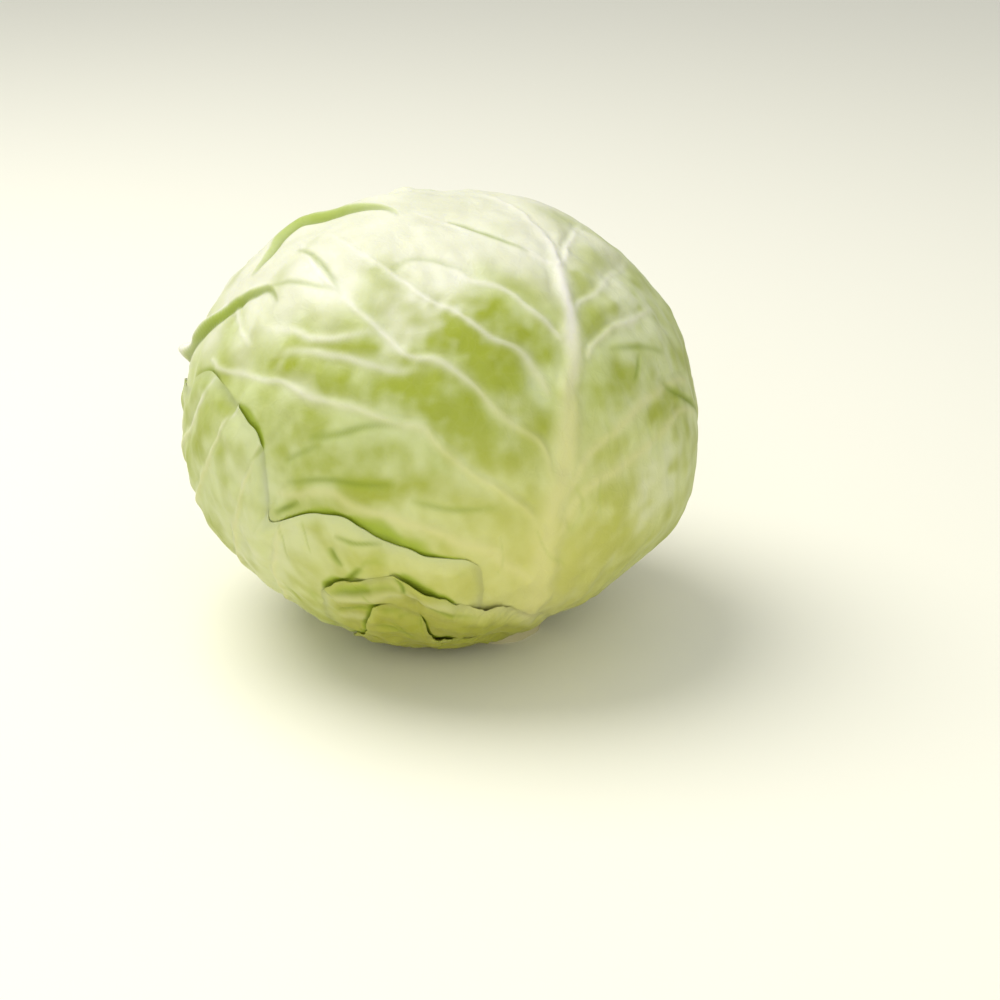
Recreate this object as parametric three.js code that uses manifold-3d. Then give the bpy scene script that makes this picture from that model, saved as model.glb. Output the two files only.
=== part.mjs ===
// A head of white cabbage: seven wrapper leaves and the torn bases of three more, folded over
// twelve packed inner leaves and a tight heart, all held by one cut stump.
// Millimetres, +Z up. The head rests on the flat spot under it, at z = 0.
//
// Every leaf is a shell of one grid of directions from the middle of the head. Leaves that share
// a grid share its facets, so their radii keep them apart however their outlines cross.

import * as THREE from 'three';
import { mergeVertices } from 'three/addons/utils/BufferGeometryUtils.js';
import Module from 'manifold-3d';

const wasm = await Module();
wasm.setup();

// ---- Driving dimensions: millimetres, and degrees seen from the middle of the head ----

const HEAD_HALF_X = 85;
const HEAD_HALF_Y = 82;
const HEAD_HALF_Z = 74;
const HEAD_ROUNDNESS = 2.08;      // exponent of the outer form, where 2 is an ellipsoid
const CENTRE_HEIGHT = 71.5;       // less than HEAD_HALF_Z, so the underside is pressed flat

const STEM_LEAN_RIGHT = 14;       // the stump points down, turned this far toward +X
const STEM_LEAN_FRONT = 8;        // and this far toward -Y
const DIMPLE_DEPTH = 3;           // hollow round the stump
const DIMPLE_SPREAD = 12;

// Swells and dents of the whole head, each a bell curve: its middle's rise up from the stem and
// turn round it, its spread in degrees, and its height in millimetres.
const HEAD_SWELLS = [
  { rise: 62, turn: 81, spread: 17, height: 4 },
  { rise: 88, turn: -77, spread: 15, height: 1.6 },
  { rise: 122, turn: -86, spread: 12, height: 1.8 },
  { rise: 115, turn: 98, spread: 15, height: -1.2 },
  { rise: 170, turn: -165, spread: 13, height: -3.8 },
];

const WRAPPER_PITCH = 1.8;        // one wrapper leaf and the gap under it
const WRAPPER_GAP = 0.5;
const WRAPPER_MOST = 4;           // where more leaves than this lie over one another, they thin
const WRAPPER_SPLITS = 6;         // splits of each edge of the direction grid
const WRAPPER_ROOM = 7.2;         // four wrapper leaves, from the packed leaves to the head's form
const PRESSED_THICK = 0.9;        // a wrapper leaf on the flat spot
const PRESSED_GAP = 0.35;

const INNER_GAP = 0.5;
const INNER_ROOM = 25.5;          // all the inner leaves together, between heart and wrappers
const INNER_SPLITS = 4;
const INNER_COUNT = 12;
const INNER_RISE = 92;
const LEAF_TURN = 137.5;          // from one leaf to the next round the stem
const HEART_DEPTH = 34.2;         // from the head's form down to the heart

const STUMP_START = 14;           // from the middle of the head to the tip of the core
const STUMP_CLEARANCE = 0.35;
const STUMP_FACETS = 24;
const FLOOR_BLOCK = 120;          // block that cuts the stump level

const OUTLINE_SNAP = 0.8;         // outlines keep this far from the corners of the grid

// Half profile of the stump and core: [radius, distance from the tip of the core].
const STUMP_PROFILE = [
  [0, 0], [5, 2], [8, 10], [9, 28], [11, 44], [14, 56], [15, 66], [15, 76], [0, 76],
];

// A leaf's middle stands rise degrees up from the stem and turn degrees round it, where 0 faces
// -Y and 90 faces +X. Its outline is a list of [bearing, reach]: bearing clockwise from the tip,
// seen from outside, and reach from the leaf's middle. At 180 it reaches the stem.
const BROAD_OUTLINE = [
  [0, 86], [40, 84], [80, 80], [120, 76], [155, 74], [171, 86], [180, 97], [189, 86], [205, 74],
  [240, 76], [280, 82], [320, 86],
];

// Wrapper leaves from the innermost to the outermost.
const WRAPPER_LEAVES = [
  { name: 'wrapper_leaf_back', rise: 95, turn: 178, outline: BROAD_OUTLINE },
  { name: 'wrapper_leaf_left', rise: 95, turn: -98, outline: BROAD_OUTLINE },
  { name: 'wrapper_leaf_right', rise: 95, turn: 62, outline: BROAD_OUTLINE },
  {
    name: 'wrapper_leaf_front',
    rise: 98,
    turn: 15,
    outline: [
      [0, 92], [40, 92], [80, 91], [105, 88], [135, 84], [158, 84], [171, 92], [180, 101],
      [189, 92], [204, 84], [235, 80], [265, 84], [290, 94], [320, 96],
    ],
  },
  {
    name: 'wrapper_leaf_back_left',
    rise: 86,
    turn: -152,
    outline: [
      [0, 66], [45, 62], [85, 58], [125, 62], [155, 68], [170, 78], [180, 88], [190, 78], [205, 68],
      [240, 64], [290, 62], [325, 66],
    ],
  },
  {
    name: 'wrapper_leaf_right_back',
    rise: 84,
    turn: 132,
    outline: [
      [0, 46], [45, 57], [90, 62], [130, 64], [155, 68], [170, 77], [180, 86], [190, 76], [206, 60],
      [235, 48], [262, 36], [288, 28], [325, 33],
    ],
  },
  {
    name: 'wrapper_leaf_lower_left',
    rise: 62,
    turn: -85,
    outline: [
      [0, 50], [16, 52], [26, 60], [44, 62], [56, 61], [66, 53], [71, 48], [77, 58], [84, 65],
      [92, 67], [103, 73], [112, 79], [128, 70], [150, 54], [165, 57], [180, 65], [195, 57],
      [212, 56], [238, 62], [270, 62], [315, 50],
    ],
  },
];

// Short bases that stay on the stump where the oldest leaves were torn off.
const TORN_BASES = [
  {
    name: 'torn_leaf_base_back',
    rise: 32,
    turn: 160,
    outline: [[0, 22], [35, 26], [70, 22], [120, 27], [180, 36], [240, 27], [290, 24], [330, 26]],
  },
  {
    name: 'torn_leaf_base_front',
    rise: 36,
    turn: -14,
    outline: [[0, 31], [25, 22], [60, 20], [120, 26], [180, 40], [240, 28], [300, 28], [330, 34]],
  },
  {
    name: 'torn_leaf_base_left',
    rise: 30,
    turn: -30,
    outline: [
      [0, 23], [14, 30], [25, 28], [32, 25], [36, 18], [43, 12], [70, 11], [120, 20], [180, 34],
      [240, 23], [290, 18], [340, 18],
    ],
  },
];

// ---- Materials ----

const stumpMaterial = new THREE.MeshStandardMaterial({ color: 0xcfc7a0, roughness: 0.75, metalness: 0 });
const heartMaterial = new THREE.MeshStandardMaterial({ color: 0xe9e7c2, roughness: 0.55, metalness: 0 });
const innerMaterial = new THREE.MeshStandardMaterial({ color: 0xdfe2b4, roughness: 0.5, metalness: 0 });
const wrapperMaterial = new THREE.MeshStandardMaterial({ color: 0xb7c07a, roughness: 0.5, metalness: 0 });
const tornMaterial = new THREE.MeshStandardMaterial({ color: 0xa3a850, roughness: 0.6, metalness: 0 });

// ---- Directions from the middle of the head ----

const radians = THREE.MathUtils.degToRad;
const degrees = THREE.MathUtils.radToDeg;

const stemDirection = new THREE.Vector3(
  Math.sin(radians(STEM_LEAN_RIGHT)),
  -Math.sin(radians(STEM_LEAN_FRONT)),
  -1,
).normalize();
const stemFront = new THREE.Vector3(0, -1, 0).projectOnPlane(stemDirection).normalize();
const stemRight = new THREE.Vector3().crossVectors(stemFront, stemDirection);

// The direction that stands rise degrees up from the stem and turn degrees round it.
function stemWay({ rise, turn }) {
  const side = stemFront.clone().applyAxisAngle(stemDirection, -radians(turn));
  const way = stemDirection.clone().multiplyScalar(Math.cos(radians(rise)));
  return way.addScaledVector(side, Math.sin(radians(rise)));
}

const swellWays = HEAD_SWELLS.map(stemWay);

// Adds to a leaf its middle and the two directions that its bearings are measured from.
function placeLeaf(leaf) {
  const middle = stemWay(leaf);
  const tipward = stemDirection.clone().negate().projectOnPlane(middle).normalize();
  const rightward = new THREE.Vector3().crossVectors(tipward, middle);
  return { ...leaf, middle, tipward, rightward };
}

// Reach of a closed outline at a bearing: a smooth curve through its points.
function reachAt(outline, bearing) {
  const count = outline.length;
  const turned = (bearing + 360) % 360;
  let start = count - 1;
  while (outline[start][0] > turned) start -= 1;
  const point = (index) => {
    const laps = Math.floor(index / count);
    const [at, reach] = outline[index - laps * count];
    return [at + 360 * laps, reach];
  };
  const [before, from, to, after] = [-1, 0, 1, 2].map((step) => point(start + step));
  const width = to[0] - from[0];
  const part = (turned - from[0]) / width;
  const slopeFrom = ((to[1] - before[1]) / (to[0] - before[0])) * width;
  const slopeTo = ((after[1] - from[1]) / (after[0] - from[0])) * width;
  const square = part * part;
  const cube = square * part;
  return (2 * cube - 3 * square + 1) * from[1]
    + (cube - 2 * square + part) * slopeFrom
    + (3 * square - 2 * cube) * to[1]
    + (cube - square) * slopeTo;
}

// How far a direction lies inside a leaf's outline, in degrees, and below zero outside it.
function depthInside(leaf, direction) {
  const reach = degrees(leaf.middle.angleTo(direction));
  const bearing = degrees(Math.atan2(direction.dot(leaf.rightward), direction.dot(leaf.tipward)));
  return reachAt(leaf.outline, bearing) - reach;
}

// Radius of the head's outer form, with the hollow round the stump and the swells.
function headRadius(direction) {
  const sum = (Math.abs(direction.x) / HEAD_HALF_X) ** HEAD_ROUNDNESS
    + (Math.abs(direction.y) / HEAD_HALF_Y) ** HEAD_ROUNDNESS
    + (Math.abs(direction.z) / HEAD_HALF_Z) ** HEAD_ROUNDNESS;
  const fromStem = degrees(stemDirection.angleTo(direction)) / DIMPLE_SPREAD;
  const hollow = DIMPLE_DEPTH * Math.exp(-fromStem * fromStem / 2);
  const swell = HEAD_SWELLS.reduce((total, { spread, height }, index) => {
    const away = degrees(swellWays[index].angleTo(direction)) / spread;
    return total + height * Math.exp(-away * away);
  }, 0);
  return sum ** (-1 / HEAD_ROUNDNESS) - hollow + swell;
}

// Radius at which a direction meets the plane that lies height above the floor.
function planeRadius(direction, height) {
  return direction.z < 0 ? (CENTRE_HEIGHT - height) / -direction.z : Infinity;
}

// Triangles of directions that cover the whole sphere, with each vertex listed once.
function directionGrid(splits) {
  const ball = new THREE.IcosahedronGeometry(1, splits - 1);
  ball.deleteAttribute('normal');
  ball.deleteAttribute('uv');
  const merged = mergeVertices(ball);
  const position = merged.getAttribute('position');
  const directions = [];
  for (let i = 0; i < position.count; i += 1) {
    directions.push(new THREE.Vector3().fromBufferAttribute(position, i).normalize());
  }
  const corners = Array.from(merged.getIndex().array);
  const facets = [];
  for (let i = 0; i < corners.length; i += 3) {
    facets.push(corners.slice(i, i + 3));
  }
  return { directions, facets };
}

// ---- Solids ----

function indexedGeometry(points, triangles) {
  const geometry = new THREE.BufferGeometry();
  geometry.setAttribute('position', new THREE.Float32BufferAttribute(points.flat(), 3));
  geometry.setIndex(triangles.flat());
  return geometry;
}

function toManifold(geometry) {
  const bare = geometry.clone();
  bare.deleteAttribute('normal');
  bare.deleteAttribute('uv');
  const merged = mergeVertices(bare);
  return new wasm.Manifold(new wasm.Mesh({
    numProp: 3,
    vertProperties: new Float32Array(merged.getAttribute('position').array),
    triVerts: new Uint32Array(merged.getIndex().array),
  }));
}

function toGeometry(manifold) {
  const mesh = manifold.getMesh();
  const geometry = new THREE.BufferGeometry();
  geometry.setAttribute('position', new THREE.BufferAttribute(mesh.vertProperties, 3));
  geometry.setIndex(new THREE.BufferAttribute(mesh.triVerts, 1));
  return geometry;
}

// The stump and core along the stem direction, grown on all sides by the clearance.
function stumpSolid(clearance) {
  const profile = STUMP_PROFILE.map(([radius, along], index) => {
    const grown = radius > 0 ? radius + clearance : 0;
    const shift = index === 0 ? -clearance : 0;
    return new THREE.Vector2(grown, along + shift);
  });
  const lathe = new THREE.LatheGeometry(profile, STUMP_FACETS);
  lathe.translate(0, STUMP_START, 0);
  const turn = new THREE.Quaternion().setFromUnitVectors(new THREE.Vector3(0, 1, 0), stemDirection);
  lathe.applyQuaternion(turn);
  return toManifold(lathe);
}

const stumpRoom = stumpSolid(STUMP_CLEARANCE);

// The stump, cut level where it meets the floor.
function stumpGeometry() {
  const block = new THREE.BoxGeometry(FLOOR_BLOCK, FLOOR_BLOCK, FLOOR_BLOCK);
  block.translate(0, 0, -CENTRE_HEIGHT - FLOOR_BLOCK / 2);
  return toGeometry(stumpSolid(0).subtract(toManifold(block)));
}

// A closed ball of the given radii, with the stump's socket cut out of it.
function heartGeometry(grid, radii) {
  const points = grid.directions.map((direction, v) => direction.clone().multiplyScalar(radii[v]).toArray());
  return toGeometry(toManifold(indexedGeometry(points, grid.facets)).subtract(stumpRoom));
}

// Cuts one facet along the outline and returns the corners of the part that lies inside.
// A corner is a grid vertex or a point at some part of the way between two of them.
function cutFacet(facet, inside) {
  const corners = [];
  facet.forEach((from, side) => {
    const to = facet[(side + 1) % 3];
    if (inside[from] > 0) corners.push({ key: String(from), from, to: from, part: 0 });
    if (inside[from] > 0 !== inside[to] > 0) {
      const [low, high] = from < to ? [from, to] : [to, from];
      const part = inside[low] / (inside[low] - inside[high]);
      corners.push({ key: `${low}/${high}`, from: low, to: high, part });
    }
  });
  return corners;
}

// A leaf between its inner and outer radii, closed by a rim along the outline.
function leafGeometry(grid, layer) {
  const points = [];
  const triangles = [];
  const placed = new Map();
  const place = ({ key, from, to, part }, surface) => {
    const name = `${surface}:${key}`;
    if (!placed.has(name)) {
      const start = grid.directions[from].clone().multiplyScalar(layer[surface][from]);
      const end = grid.directions[to].clone().multiplyScalar(layer[surface][to]);
      placed.set(name, points.length);
      points.push(start.lerp(end, part).toArray());
    }
    return placed.get(name);
  };
  const borders = new Map();
  grid.facets.forEach((facet) => {
    const corners = cutFacet(facet, layer.inside);
    for (let i = 2; i < corners.length; i += 1) {
      const [a, b, c] = [corners[0], corners[i - 1], corners[i]];
      triangles.push([place(a, 'outer'), place(b, 'outer'), place(c, 'outer')]);
      triangles.push([place(a, 'inner'), place(c, 'inner'), place(b, 'inner')]);
    }
    corners.forEach((corner, i) => {
      const next = corners[(i + 1) % corners.length];
      if (!borders.delete(`${next.key}>${corner.key}`)) borders.set(`${corner.key}>${next.key}`, [corner, next]);
    });
  });
  borders.forEach(([corner, next]) => {
    const [a, b] = [place(corner, 'outer'), place(next, 'outer')];
    const [c, d] = [place(next, 'inner'), place(corner, 'inner')];
    triangles.push([b, a, d], [b, d, c]);
  });
  return toGeometry(toManifold(indexedGeometry(points, triangles)).subtract(stumpRoom));
}

// How much of a leaf lies over each vertex: 1 on every facet that it touches, then fading out.
function coverOf(grid, inside) {
  const cover = inside.map(() => 0);
  const touched = grid.facets.filter((facet) => facet.some((v) => inside[v] > 0));
  touched.flat().forEach((v) => { cover[v] = 1; });
  const beside = grid.facets.filter((facet) => facet.some((v) => cover[v] === 1));
  beside.flat().forEach((v) => { cover[v] = Math.max(cover[v], 0.5); });
  return cover;
}

// Radii of the leaves laid one over another on a form, each lifted by the leaves under it.
// The pitch of a leaf and its gap may depend on how many leaves lie over a vertex in all.
function layLeaves(grid, leaves, form, gap, pitchFor) {
  const layers = leaves.map((leaf) => {
    const inside = grid.directions.map((direction) => {
      const depth = depthInside(leaf, direction);
      return Math.abs(depth) < OUTLINE_SNAP ? -OUTLINE_SNAP : depth;
    });
    return { leaf, inside, cover: coverOf(grid, inside) };
  });
  const pitch = form.map((_, v) => pitchFor(layers.reduce((sum, layer) => sum + layer.cover[v], 0)));
  const lift = form.map(() => gap);
  layers.forEach((layer) => {
    layer.inner = form.map((radius, v) => radius + lift[v]);
    layer.outer = layer.inner.map((radius, v) => radius + pitch[v] - gap);
    layer.cover.forEach((part, v) => { lift[v] += part * pitch[v]; });
  });
  return layers;
}

// Presses laid leaves flat where they pass the floor, the outermost against it.
function pressOnFloor(grid, layers, scaleFor) {
  const height = grid.directions.map(() => 0);
  const scale = height.map((_, v) => scaleFor(layers.reduce((sum, layer) => sum + layer.cover[v], 0)));
  [...layers].reverse().forEach((layer) => {
    grid.directions.forEach((direction, v) => {
      const thick = PRESSED_THICK * scale[v];
      layer.outer[v] = Math.min(layer.outer[v], planeRadius(direction, height[v]));
      layer.inner[v] = Math.min(layer.inner[v], planeRadius(direction, height[v] + thick));
      if (layer.cover[v] > 0) height[v] += thick + PRESSED_GAP * scale[v];
    });
  });
}

// ---- The head ----

const head = new THREE.Group();

function addPiece(name, geometry, material) {
  const mesh = new THREE.Mesh(geometry, material);
  mesh.name = name;
  head.add(mesh);
}

addPiece('stump', stumpGeometry(), stumpMaterial);

const innerGrid = directionGrid(INNER_SPLITS);
const heartRadii = innerGrid.directions.map((direction) => headRadius(direction) - HEART_DEPTH);
addPiece('heart', heartGeometry(innerGrid, heartRadii), heartMaterial);

const innerLeaves = Array.from({ length: INNER_COUNT }, (_, index) => placeLeaf({
  name: `inner_leaf_${index + 1}`,
  rise: INNER_RISE,
  turn: index * LEAF_TURN,
  outline: BROAD_OUTLINE,
}));
const innerPitch = (count) => INNER_ROOM / Math.max(count, 1);
layLeaves(innerGrid, innerLeaves, heartRadii, INNER_GAP, innerPitch).forEach((layer) => {
  addPiece(layer.leaf.name, leafGeometry(innerGrid, layer), innerMaterial);
});

const wrapperGrid = directionGrid(WRAPPER_SPLITS);
const outerLeaves = [...WRAPPER_LEAVES, ...TORN_BASES].map(placeLeaf);
const packedRadii = wrapperGrid.directions.map((direction) => headRadius(direction) - WRAPPER_ROOM);
const thinning = (count) => Math.min(1, WRAPPER_MOST / count);
const wrapperPitch = (count) => WRAPPER_PITCH * thinning(count);
const wrapperLayers = layLeaves(wrapperGrid, outerLeaves, packedRadii, WRAPPER_GAP, wrapperPitch);
pressOnFloor(wrapperGrid, wrapperLayers, thinning);
wrapperLayers.forEach((layer, index) => {
  const material = index < WRAPPER_LEAVES.length ? wrapperMaterial : tornMaterial;
  addPiece(layer.leaf.name, leafGeometry(wrapperGrid, layer), material);
});

// The origin is on the floor, under the middle of the head's box.
const box = new THREE.Box3().setFromObject(head);
head.position.set(-(box.min.x + box.max.x) / 2, -(box.min.y + box.max.y) / 2, CENTRE_HEIGHT);

const cabbage = new THREE.Group();
cabbage.add(head);

export default cabbage;
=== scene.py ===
import bmesh
import bpy
import numpy as np
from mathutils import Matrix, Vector


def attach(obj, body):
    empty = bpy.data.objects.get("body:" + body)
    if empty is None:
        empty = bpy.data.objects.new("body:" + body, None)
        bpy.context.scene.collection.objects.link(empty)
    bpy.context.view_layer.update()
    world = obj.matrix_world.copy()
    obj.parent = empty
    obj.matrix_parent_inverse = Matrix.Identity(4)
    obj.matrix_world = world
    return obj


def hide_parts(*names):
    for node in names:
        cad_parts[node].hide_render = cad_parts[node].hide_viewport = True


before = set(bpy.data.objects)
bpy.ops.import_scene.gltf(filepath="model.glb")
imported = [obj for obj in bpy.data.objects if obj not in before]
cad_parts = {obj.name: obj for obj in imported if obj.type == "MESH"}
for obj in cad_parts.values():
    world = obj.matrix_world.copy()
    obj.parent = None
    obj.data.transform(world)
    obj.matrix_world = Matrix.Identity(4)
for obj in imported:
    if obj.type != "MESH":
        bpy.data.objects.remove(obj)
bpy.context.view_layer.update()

# ---- Stump ----
# The cut end of the stem, with the core that runs up into the head. It is pale, fibrous and
# woody, with a ring of vessels in the cut face and a thin drying skin. The leaves grow from it.

HEAD_MIDDLE = np.array([-0.286, -1.35, 71.5])  # mm, above the flat spot that the head rests on
STEM_LEAN = np.radians([14.0, 8.0])            # toward +X and toward -Y from straight down
STUMP_START = 14.0                             # mm from the head's middle to the core's tip
STUMP_RADII = [0, 5, 8, 9, 11, 14, 15]         # mm, half profile of the core
STUMP_ALONG = [0, 2, 10, 28, 44, 56, 62]       # mm from the core's tip
STUMP_GRAIN = 0.25                             # mm, how far the cut face is roughened
STUMP_FLUTES = [(5, 0.02, 0.0), (11, 0.012, 1.0)]  # waves round it: number, part of radius, phase
STUMP_RING, RING_BREADTH = 0.72, 0.06          # of the cut face's radius, where its vessels are
STUMP_ROWS, STUMP_SPOKES = 48, 96              # mesh rows down the core, and points in each
RIM_ANGLE = np.radians(55.0)                   # edges sharper than this are shaded as edges


def unit(vector):
    """The vectors scaled to length one."""
    return np.asarray(vector, float) / np.linalg.norm(vector, axis=-1, keepdims=True)


def smooth(low, high, value):
    """The cubic step 3s^2 - 2s^3, from 0 at low to 1 at high."""
    s = np.clip((value - low) / (high - low), 0, 1)
    return s * s * (3 - 2 * s)


def bell(distance, width):
    """The bell curve e^-(distance / width)^2."""
    return np.exp(-((distance / width) ** 2))


def ripples(points, size, seed, waves=26):
    """Uneven swells about one unit high: a sum of sine waves in random directions."""
    rng = np.random.default_rng(seed)
    ways = unit(rng.normal(size=(waves, 3)))
    lengths = size * rng.uniform(0.6, 1.7, waves)
    phases = rng.uniform(0, 2 * np.pi, waves)
    turns = points @ (ways * (2 * np.pi / lengths)[:, None]).T + phases
    return np.sin(turns).sum(axis=1) * np.sqrt(2 / waves)


def grid_quads(rows, columns, wrap=False):
    """Quads of a grid listed row by row, closed from its last column to its first if wrapped."""
    row, column = np.meshgrid(
        np.arange(rows - 1), np.arange(columns if wrap else columns - 1), indexing="ij")
    beside = (column + 1) % columns
    corners = [row * columns + column, (row + 1) * columns + column,
               (row + 1) * columns + beside, row * columns + beside]
    return np.stack([corner.ravel() for corner in corners], axis=1)


def make_piece(name, points, faces, material, tints=None):
    """A smooth mesh of points in mm about the head's middle, in the place of a CAD node. Its
    tints are values at its points, which its material reads by name."""
    mesh = bpy.data.meshes.new(name + "_visual")
    placed = (points + HEAD_MIDDLE) / 1000
    mesh.from_pydata(placed.tolist(), [], [face for block in faces for face in block.tolist()])
    for tint, values in (tints or {}).items():
        layer = mesh.attributes.new(tint, "FLOAT", "POINT")
        layer.data.foreach_set("value", values.astype(np.float32))
    shape = bmesh.new()
    shape.from_mesh(mesh)
    bmesh.ops.remove_doubles(shape, verts=shape.verts, dist=1e-7)
    shape.to_mesh(mesh)
    shape.free()
    mesh.shade_smooth()
    mesh.set_sharp_from_angle(angle=RIM_ANGLE)
    mesh.materials.append(material)
    piece = bpy.data.objects.new(name + "_visual", mesh)
    bpy.context.collection.objects.link(piece)
    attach(piece, "root")
    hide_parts(name)


class Finish:
    """A node material under construction. Values are numbers, colours or other nodes' outputs."""

    def __init__(self, name):
        self.material = bpy.data.materials.new(name)
        self.material.use_nodes = True
        self.tree = self.material.node_tree
        self.shader = self.tree.nodes["Principled BSDF"]
        self.place = self.add("TexCoord").outputs["Object"]

    def set(self, node, sockets):
        """Gives each named socket of a node its value or its link."""
        for key, value in sockets.items():
            if isinstance(value, bpy.types.NodeSocket):
                self.tree.links.new(value, node.inputs[key])
            else:
                node.inputs[key].default_value = value

    def add(self, kind, sockets=None, **settings):
        """A new node with its settings and sockets set."""
        node = self.tree.nodes.new("ShaderNode" + kind)
        for key, value in settings.items():
            setattr(node, key, value)
        self.set(node, sockets or {})
        return node

    def tint(self, name):
        """The value that the mesh stores under this name."""
        return self.add("Attribute", attribute_name=name).outputs["Fac"]

    def noise(self, scale, detail=3.0, roughness=0.5):
        """Soft random blotches about 1 / scale metres across."""
        sockets = {"Vector": self.place, "Scale": scale, "Detail": detail, "Roughness": roughness}
        return self.add("TexNoise", sockets).outputs["Fac"]

    def mix(self, amount, first, second):
        """The first colour at an amount of 0, the second at 1."""
        sockets = {0: amount, 6: first, 7: second}
        return self.add("Mix", sockets, data_type="RGBA").outputs[2]

    def glaze(self, under, tint, strength, over):
        """One colour laid over another, as strongly as the tint times strength."""
        return self.mix(self.maths("MULTIPLY", tint, strength), under, over)

    def maths(self, operation, first, second):
        """A sum, product or other operation on two values."""
        return self.add("Math", {0: first, 1: second}, operation=operation).outputs[0]

    def between(self, value, low, high, to_low=0.0, to_high=1.0):
        """The smooth step from to_low, where value is low, to to_high, where it is high."""
        sockets = {0: value, 1: low, 2: high, 3: to_low, 4: to_high}
        return self.add("MapRange", sockets, interpolation_type="SMOOTHSTEP").outputs[0]

    def bump(self, height, distance, strength, under=None):
        """A normal tilted by a height pattern this many metres deep, over another normal."""
        sockets = {"Strength": strength, "Distance": distance, "Height": height}
        if under:
            sockets["Normal"] = under
        return self.add("Bump", sockets).outputs["Normal"]


stem = unit([np.sin(STEM_LEAN[0]), -np.sin(STEM_LEAN[1]), -1.0])
stem_front = unit(np.array([0.0, -1.0, 0.0]) + stem[1] * stem)
stem_right = np.cross(stem_front, stem)


def stump_surface(rows, spokes):
    """The half profile turned round the stem's line down to the floor, then a level cut face
    of rings that shrink to its middle, roughened upward. A point is its distance along the
    stem plus its radius, with a few flutes round it, square to the stem."""
    along = np.concatenate([np.linspace(0, 1, rows), np.ones(rows // 2)])[:, None]
    inward = np.concatenate([np.ones(rows), np.linspace(1, 0, rows // 2 + 1)[1:]])[:, None]
    turn = np.linspace(0, 2 * np.pi, spokes, endpoint=False)
    around = np.cos(turn)[:, None] * stem_front + np.sin(turn)[:, None] * stem_right
    flute = 1 + sum(share * np.sin(number * turn + phase) for number, share, phase in STUMP_FLUTES)
    at_floor = STUMP_RADII[-1] * inward * flute
    distance = along * (-(HEAD_MIDDLE[2] + at_floor * around[:, 2]) / stem[2] - STUMP_START)
    radius = np.interp(distance, STUMP_ALONG, STUMP_RADII) * inward * flute
    points = (STUMP_START + distance)[..., None] * stem + radius[..., None] * around
    face = points[rows - 1:]
    face -= ((face[..., 2] + HEAD_MIDDLE[2]) / stem[2])[..., None] * stem
    grain = 0.5 + 0.5 * ripples(face.reshape(-1, 3), 2.5, seed=3).reshape(face.shape[:2])
    face[..., 2] += STUMP_GRAIN * np.clip(grain, 0, 1.5) * smooth(1, 0.9, inward[rows - 1:])
    tints = {
        "skin": np.repeat(smooth(0.97, 1.0, inward[:, 0]), spokes),
        "ring": np.repeat(bell(inward[:, 0] - STUMP_RING, RING_BREADTH), spokes),
    }
    return points.reshape(-1, 3), tints


def stump_finish():
    """Pale fibre with a greenish ring of vessels, drying brown in places, in a dull skin."""
    finish = Finish("stump_fibre")
    grain = finish.noise(420.0, 6.0, 0.6)
    stain = finish.between(finish.noise(70.0), 0.45, 0.7)
    pale = finish.mix(grain, (0.70, 0.66, 0.42, 1), (0.52, 0.49, 0.27, 1))
    ringed = finish.mix(finish.tint("ring"), pale, (0.42, 0.42, 0.16, 1))
    dried = finish.mix(stain, ringed, (0.45, 0.33, 0.17, 1))
    colour = finish.mix(finish.tint("skin"), dried, (0.52, 0.47, 0.25, 1))
    normal = finish.bump(grain, 0.0006, 0.5)
    finish.set(finish.shader, {"Base Color": colour, "Normal": normal, "Roughness": 0.75})
    return finish.material


stump_points, stump_tints = stump_surface(STUMP_ROWS, STUMP_SPOKES)
stump_faces = [grid_quads(STUMP_ROWS + STUMP_ROWS // 2, STUMP_SPOKES, wrap=True)]
make_piece("stump", stump_points, stump_faces, stump_finish(), stump_tints)

# ---- Heart ----
# The small crumpled leaves round the bud, so tightly packed that they are one pale ball here.
# It is the smooth form of the head at a smaller size, puckered all over, with its poles closed.

HEAD_HALF = np.array([85.0, 82.0, 74.0])       # mm, half sizes of the head's form
HEAD_ROUNDNESS = 2.08                          # its exponent, where 2 is an ellipsoid
# Swells and dents of the whole head: rise and turn round the stem, spread in degrees, mm.
HEAD_SWELLS = [
    (62, 81, 17, 4.0), (88, -77, 15, 1.6), (122, -86, 12, 1.8), (115, 98, 15, -1.2),
    (170, -165, 13, -3.8)]
DIMPLE_DEPTH, DIMPLE_SPREAD = 3.0, 12.0        # mm and degrees, the hollow round the stump
HEART_DEPTH = 34.2                             # mm from the head's form down to the heart
HEART_PUCKER, PUCKER_SIZE = 1.2, 14.0          # mm, how deep the puckers are, and how wide
HEART_RADIUS = 50.0                            # mm, of the sphere that they are laid out on
HEART_ROWS, HEART_SPOKES = 90, 120


def stem_way(rise, turn):
    """The direction that stands rise degrees up from the stem and turn degrees round it."""
    rise, turn = np.radians(rise), np.radians(turn)
    return np.cos(rise) * stem + np.sin(rise) * (np.cos(turn) * stem_front + np.sin(turn) * stem_right)


def head_radius(ways):
    """Radius of the head's form: (sum of |component / half size|^n)^(-1/n), less the hollow,
    a bell curve of the angle from the stem, and with the swells, bell curves too."""
    form = (np.abs(ways / HEAD_HALF) ** HEAD_ROUNDNESS).sum(axis=-1) ** (-1 / HEAD_ROUNDNESS)
    from_stem = np.degrees(np.arccos(np.clip(ways @ stem, -1, 1)))
    form = form - DIMPLE_DEPTH * np.exp(-((from_stem / DIMPLE_SPREAD) ** 2) / 2)
    for rise, turn, spread, height in HEAD_SWELLS:
        away = np.degrees(np.arccos(np.clip(ways @ stem_way(rise, turn), -1, 1)))
        form = form + height * bell(away, spread)
    return form


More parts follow.
